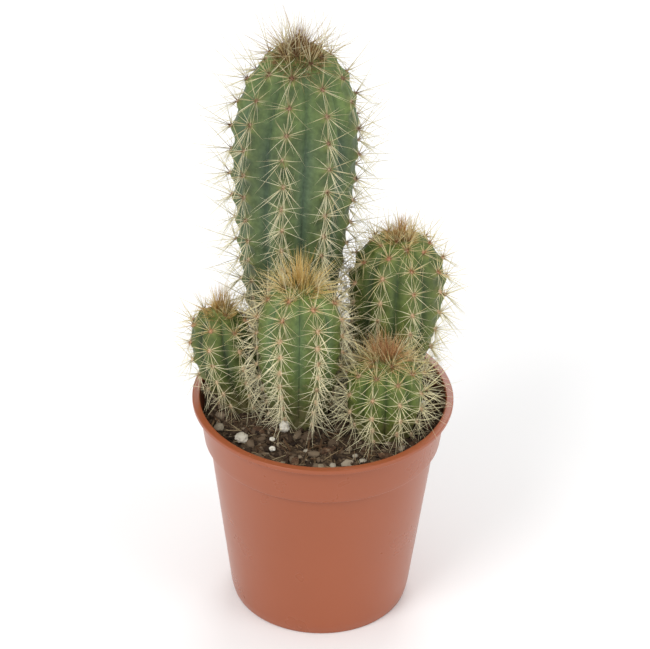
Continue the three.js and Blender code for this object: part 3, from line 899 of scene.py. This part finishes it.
def add_cluster(batch, spec, here, outward, up, side, youth, left, kept, roll):
    """One areole's spines: a flat star of radials, a few stout centrals and hangers below old ones.

    left is the distance to the tip, and kept the share of spines that have not been shed.
    """
    young_crown = float(smoothstep(1 - left / 16))
    full = 0.75 + 0.25 * smoothstep(left / 12)

    def ray(angle, rise, lean=0.0):
        flat = up * np.cos(angle)[:, None] + side * np.sin(angle)[:, None]
        return flat, unit(flat * np.cos(rise)[:, None] + outward * np.sin(rise)[:, None] + up * lean)

    radials = int(round(kept * (spec["radials"] + roll.integers(-1, 2))))
    angle = (np.arange(radials) + 0.5) * TAU / radials + roll.normal(0, 0.17, radials)
    angle += 0.42 * (1 - youth) * np.sin(angle)
    downness = 0.5 - 0.5 * np.cos(angle)
    rise = np.radians(roll.uniform(6, 30, radials)) + young_crown * 0.7
    flat, heading = ray(angle, rise)
    span = roll.uniform(*spec["side"], radials) * (0.62 + 0.38 * downness)
    reach = np.where(downness > 0.82, roll.uniform(*spec["lower"], radials), span) * full
    thick = roll.uniform(0.17, 0.23, radials) * spec["stout"]
    shade = shades_of(youth + roll.normal(0, 0.16, radials))
    bend = roll.normal(0, 0.05, (radials, 3)) - outward * 0.05
    add_spines(batch, here + flat * 0.5 + outward * 0.35, heading, bend, reach, thick, shade)

    centrals = spec["centrals"] + roll.integers(-1, 2)
    angle = roll.uniform(0, TAU) + full_turn(centrals) + roll.normal(0, 0.25, centrals)
    flat, heading = ray(angle, np.radians(roll.uniform(42, 82, centrals)), 0.6 * young_crown)
    reach = roll.uniform(*spec["central"], centrals) * full
    shade = shades_of(youth + spec["dusk"] + roll.normal(0, 0.15, centrals))
    add_spines(
        batch, here + outward * 0.5 + flat * 0.25, heading, roll.normal(0, 0.035, (centrals, 3)),
        reach, roll.uniform(0.21, 0.29, centrals) * spec["stout"], shade)

    sprouts = int(round(spec["sprouts"] * smoothstep(1 - (left - 7) / 18) * roll.uniform(0.8, 1.2)))
    if sprouts > 0:
        angle = roll.uniform(0, TAU, sprouts)
        flat, heading = ray(angle, np.radians(roll.uniform(25, 75, sprouts)), 0.75)
        shade = shades_of(roll.uniform(0.15, 0.9, sprouts))
        add_spines(
            batch, here + outward * 0.4 + flat * 0.4, heading, roll.normal(0, 0.05, (sprouts, 3)),
            roll.uniform(*spec["central"], sprouts), roll.uniform(0.16, 0.22, sprouts) * spec["stout"],
            shade)

    hangers = spec["hangers"] * (0.25 + 0.75 * smoothstep((left - 14) / 60)) * kept
    hangers = int(round(hangers + roll.uniform(-0.5, 0.5)))
    if hangers > 0:
        angle = math.pi + roll.normal(0, 0.42, hangers)
        flat, heading = ray(angle, np.radians(roll.uniform(4, 20, hangers)))
        shade = shades_of(0.05 + 0.2 * youth + roll.uniform(0, 0.2, hangers))
        bend = roll.normal(0, 0.07, (hangers, 3)) - outward * 0.06
        add_spines(
            batch, here + flat * 0.4 + outward * 0.4, heading, bend,
            roll.uniform(*spec["hanging"], hangers), roll.uniform(0.17, 0.24, hangers) * spec["stout"],
            shade)


def make_crown(stem, roll):
    """The tuft on the tip. Each group of the crown: count, lengths, thicknesses, tilt from the middle to
    the edge (degrees), where it grows as shares of the crown's reach, its shades and how bent it is."""
    spec = stem.spec
    batch = Batch()
    climb = np.array([
        stem.x[-1] - stem.x[-12], stem.y[-1] - stem.y[-12], max(stem.z[-1] - stem.z[-12], 3.0)])
    axis = unit(climb * [0.4, 0.4, 1])
    for count, lengths, thick, tilts, places, shades, bendy in spec["crown"]:
        share = places[0] + (places[1] - places[0]) * np.sqrt(roll.uniform(0, 1, count))
        around = roll.uniform(0, TAU, count)
        down = share * spec["crown_reach"] * (1 - spec["forward"] * np.sin(around))
        base, outward, _ = stem.frame_at(stem.length - 0.3 - down, around)
        radial = np.stack([np.cos(around), np.sin(around), np.zeros(count)], -1)
        tilt = np.radians(tilts[0] + (tilts[1] - tilts[0]) * share ** 1.2 + roll.normal(0, 9, count))
        heading = unit(axis * np.cos(tilt)[:, None] + radial * np.sin(tilt)[:, None])
        length = roll.uniform(*lengths, count) * (1.05 - 0.3 * share)
        add_spines(
            batch, base - outward * 0.3, heading, roll.normal(0, bendy, (count, 3)), length,
            roll.uniform(*thick, count), roll.uniform(*shades, count))
    look = shaded_look(
        f"{stem.name}_crown", 0.55, 0.4, list(zip((0.0, 0.33, 0.66, 1.0), spec["tuft"])),
        [(0.0, (0.70, 0.64, 0.58)), (0.35, WHITE), (1.0, (1.1, 1.1, 1.1))])
    piece = batch.build(f"{stem.name}_crown_bristles", look)
    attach(piece, "root")
    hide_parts(f"{stem.name}_crown_spines")


def make_stem(name, spec, soil_z):
    roll = np.random.default_rng(spec["seed"])
    stem = Stem(name, spec, soil_z)
    stem.set_areoles(roll)
    make_skin(stem)
    make_spines(stem, roll)
    make_crown(stem, roll)
    return [float(np.interp(soil_z, stem.z, values)) for values in (stem.x, stem.y, stem.crest)]


# ---- potting mix and what lies on it

SOIL_Z = 99.0  # mean level of the mix
SOIL_SIDE = [(38.9, 2.1), (40.7, 4.2), (50.9, 85.9), (53.3, 88.0), (54.6, 96.5)]  # radius, height
SOIL_WIDTH = 109.8
SOIL_TOP_R = 54.8
SOIL_SIDES, SOIL_RINGS = 300, 118
CRUMBS = 2000
CRUMB_REACH = 54.0
CRUMB_EDGE = 55.2  # no crumb's size reaches past this radius
LITTER_REACH, LITTER_EDGE = 51.0, 54.5
LITTER = [  # count, lengths, thicknesses, shades, taper and lift of fallen spines, thin and thick fibres
    (170, (5, 15), (0.12, 0.22), (0.5, 1.0), 0.6, 0.5),
    (110, (3, 10), (0.22, 0.50), (0.0, 0.6), 0.35, 0.1),
    (42, (4, 11), (0.40, 0.75), (0.1, 0.62), 0.3, 0.5),
]


LOW_END_SHADE = [(0.0, (0.60, 0.58, 0.56)), (0.55, WHITE), (1.0, (1.15, 1.15, 1.15))]  # painted shade, darker below on a crumb; on fallen spines and fibres it darkens the foot


class Ground:
    """The level of the potting mix, read from the top of its CAD solid, with crumbly lumps on it."""

    def __init__(self):
        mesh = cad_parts["soil"].data
        points = [v.co / MM for v in mesh.vertices]
        self.tree = BVHTree.FromPolygons(points, [p.vertices for p in mesh.polygons])

    def level(self, x, y):
        hit = self.tree.ray_cast(Vector((x, y, 150)), Vector((0, 0, -1)))[0]
        return hit.z if hit is not None and hit.z > SOIL_Z - 2.5 else SOIL_Z

    def lumpy(self, x, y):
        spot = Vector((x, y, 0))
        coarse = noise.noise(spot * 0.13) * 1.3 + noise.noise(spot * 0.31) * 0.9
        ridged = 0.55 - abs(noise.noise(spot * 0.55 + Vector((7, 3, 1)))) * 1.3
        fine = noise.noise(spot * 1.3) * 0.35
        edge = 1 - 0.6 * float(smoothstep((math.hypot(x, y) - 50) / 4.5))
        return self.level(x, y) + (coarse + ridged * 0.6 + fine) * edge


def soil_look(name):
    look = Look(name, 0.95, 0.15)
    clump = look.ramp(look.noise(260, 5, 0.7), [
        (0.30, srgb(38, 29, 22)), (0.46, srgb(68, 55, 43)), (0.60, srgb(98, 81, 63)),
        (0.75, srgb(134, 114, 92))])
    fleck = look.ramp(look.noise(1500, 3, 0.6), [(0.40, (0.65, 0.65, 0.65)), (0.66, (1.35, 1.33, 1.3))])
    look.colour(look.times(clump, fleck))
    first = look.bump(look.noise(900, 5, 0.7), 0.9, 0.0005)
    look.bump(look.noise(330, 4, 0.65), 0.8, 0.0012, first)
    return look.material


def make_soil(ground):
    low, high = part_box("soil")
    scale = (high.x - low.x) / MM / SOIL_WIDTH
    angles = full_turn(SOIL_SIDES)
    rows = [[(r * scale * math.cos(a), r * scale * math.sin(a), z) for a in angles] for r, z in SOIL_SIDE]
    for radius in np.linspace(SOIL_TOP_R * scale, 0.45, SOIL_RINGS):
        ring = [(radius * math.cos(a), radius * math.sin(a)) for a in angles]
        rows.append([(x, y, ground.lumpy(x, y)) for x, y in ring])
    piece = grid_solid("soil_body", np.array(rows), soil_look("potting_mix"), {})
    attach(piece, "root")
    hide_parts("soil")


def open_spots(roll, count, reach, stems, clear):
    """Random places on the mix, none of them inside a stem."""
    spots = []
    while len(spots) < count:
        radius, turn = reach * math.sqrt(roll.uniform(0, 1)), roll.uniform(0, TAU)
        x, y = radius * math.cos(turn), radius * math.sin(turn)
        if all(math.hypot(x - sx, y - sy) > sr + clear for sx, sy, sr in stems):
            spots.append((x, y))
    return np.array(spots)


def make_crumbs(ground, stems, roll):
    batch = Batch()
    spots = open_spots(roll, CRUMBS, CRUMB_REACH, stems, -2.0)
    level = np.array([ground.lumpy(x, y) for x, y in spots])
    size = np.clip(np.exp(roll.normal(-0.34, 0.60, len(spots))), 0.28, 2.9)
    size = np.minimum(size, CRUMB_EDGE - np.hypot(*spots.T))
    centre = np.column_stack([spots, level + size * 0.15])
    turn = roll.uniform(0, TAU, len(spots))
    flat = np.column_stack([np.cos(turn), np.sin(turn), roll.normal(0, 0.3, len(spots))])
    beside = np.column_stack([-np.sin(turn), np.cos(turn), roll.normal(0, 0.3, len(spots))])
    axes = np.stack([
        unit(flat) * (size * roll.uniform(0.9, 1.5, len(spots)))[:, None],
        unit(beside) * (size * roll.uniform(0.6, 0.95, len(spots)))[:, None],
        np.tile([0, 0, 1.0], (len(spots), 1)) * (size * roll.uniform(0.5, 0.85, len(spots)))[:, None],
    ], 1)
    shade = np.clip(roll.beta(1.5, 2.0, len(spots)), 0.01, 0.98)
    add_blobs(batch, centre, axes, shade, roll, 0.22, PEBBLE)
    stops = [
        (0.0, srgb(36, 27, 21)), (0.35, srgb(68, 53, 41)), (0.7, srgb(104, 88, 71)),
        (0.9, srgb(142, 128, 108)), (1.0, srgb(178, 166, 148))]
    # painted shade on the crumbs' undersides
    look = shaded_look("crumbs", 0.95, 0.2, stops, LOW_END_SHADE)
    piece = batch.build("soil_crumbs", look, smooth=False)
    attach(piece, "root")


def make_litter(ground, stems, roll):
    """Straw-coloured fallen spines and brown plant fibres lying criss-cross on the mix."""
    batch = Batch()
    for count, lengths, thick, shades, taper, lift in LITTER:
        spots = open_spots(roll, count, LITTER_REACH, stems, 0.5)
        turn = roll.uniform(0, TAU, count)
        length = roll.uniform(*lengths, count)
        room = LITTER_EDGE - np.hypot(*spots.T)
        inward = unit(-spots)
        heading = np.column_stack([np.cos(turn), np.sin(turn)])
        facing_out = (heading * inward).sum(1) < -room / length
        heading[facing_out] = inward[facing_out]
        level = np.array([ground.lumpy(x, y) for x, y in spots])
        base = np.column_stack([spots, level + lift])
        heading = unit(np.column_stack([heading, roll.normal(0.03, 0.10, count)]))
        bend = roll.normal(0, 0.12, (count, 3)) * [1, 1, 0.3]
        add_spines(
            batch, base, heading, bend, length, roll.uniform(*thick, count),
            roll.uniform(*shades, count), rings=5, sides=4, taper=taper)
    stops = [
        (0.0, srgb(70, 50, 36)), (0.4, srgb(112, 86, 62)), (0.7, srgb(164, 140, 106)),
        (1.0, srgb(206, 190, 152))]
    piece = batch.build("soil_litter", shaded_look("litter", 0.8, 0.2, stops, LOW_END_SHADE))
    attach(piece, "root")


def numbered(start):
    """The CAD nodes whose names start so, in the order of the number that ends each name."""
    return sorted((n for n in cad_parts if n.startswith(start)), key=lambda n: int(n[len(start):]))


STAINS = {"clean": 1.0, "dusty": 0.66, "stained": 0.46, "earthy": 0.30}  # share of light given back
DIRTY_GRAINS = {"perlite_2": "dusty", "perlite_3": "earthy"}


def make_perlite(roll):
    """White expanded grains, lumpy with small pits; some are stained by the mix."""
    looks = {}
    for kind, stain in STAINS.items():
        look = looks[kind] = Look(f"perlite_{kind}", 0.85, 0.3)
        tint = np.array([stain ** 0.9, stain, stain ** 1.15])
        pits = look.ramp(look.noise(900, 4, 0.7), [
            (0.34, tuple(tint * srgb(188, 181, 166))), (0.48, tuple(tint * srgb(236, 232, 220)))])
        dust = look.ramp(look.noise(330, 3, 0.6), [(0.46, WHITE), (0.76, (0.78, 0.74, 0.67))])
        look.colour(look.times(pits, dust))
        look.bump(look.noise(800, 4, 0.7), 0.6, 0.0003)
    ball, faces = icosphere(4)
    for name in numbered("perlite_"):
        low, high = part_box(name)
        centre, half = np.array((low + high) / 2) / MM, np.array((high - low) / 2) / MM
        shift = Vector(roll.uniform(-50, 50, 3))
        grow = np.array([
            1 + 0.22 * noise.noise(Vector(p) * 1.6 + shift) + 0.12 * noise.noise(Vector(p) * 3.7 + shift)
            - 0.10 * max(0.0, noise.noise(Vector(p) * 8.0 + shift)) for p in ball])
        points = centre + ball * half * grow[:, None]
        mesh = raw_mesh(f"{name}_grain", points * MM, faces.reshape(-1), np.full(len(faces), 3), True)
        usual = "stained" if max(half) < 1.9 and centre[0] > -12 else "clean"
        mesh.materials.append(looks[DIRTY_GRAINS.get(name, usual)].material)
        piece = place_object(f"{name}_grain", mesh)
        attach(piece, "root")
        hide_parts(name)


def make_bark(roll):
    """Bark chips: the CAD chips with worn edges and a mottled, grainy surface."""
    look = Look("bark", 0.85, 0.25)
    tone = look.ramp(look.noise(520, 5, 0.7), [
        (0.34, srgb(48, 34, 25)), (0.52, srgb(88, 64, 47)), (0.70, srgb(134, 106, 80))])
    look.colour(tone)
    look.bump(look.noise(700, 4, 0.7), 0.9, 0.0004)
    for name in numbered("bark_"):
        made = bmesh.new()
        made.from_mesh(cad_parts[name].data)
        bmesh.ops.remove_doubles(made, verts=made.verts, dist=1e-6)
        bmesh.ops.subdivide_edges(made, edges=made.edges, cuts=5, use_grid_fill=True)
        bmesh.ops.triangulate(made, faces=made.faces)
        for _ in range(3):
            bmesh.ops.smooth_vert(
                made, verts=made.verts, factor=0.5, use_axis_x=True, use_axis_y=True, use_axis_z=True)
        made.normal_update()
        shift = Vector(roll.uniform(-50, 50, 3))
        moves = [v.normal * noise.noise(v.co / MM * 0.9 + shift) * 0.00045 for v in made.verts]
        for vertex, move in zip(made.verts, moves):
            vertex.co += move
        mesh = bpy.data.meshes.new(f"{name}_chip")
        made.to_mesh(mesh)
        made.free()
        mesh.materials.append(look.material)
        piece = place_object(f"{name}_chip", mesh)
        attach(piece, "root")
        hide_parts(name)


# ---- the whole plant

make_camera()
make_studio()
make_pot()
feet = [make_stem(stem_name, stem_spec, SOIL_Z) for stem_name, stem_spec in STEMS.items()]
mix_level = Ground()
make_soil(mix_level)
make_crumbs(mix_level, feet, np.random.default_rng(71))
make_litter(mix_level, feet, np.random.default_rng(72))
make_perlite(np.random.default_rng(73))
make_bark(np.random.default_rng(74))
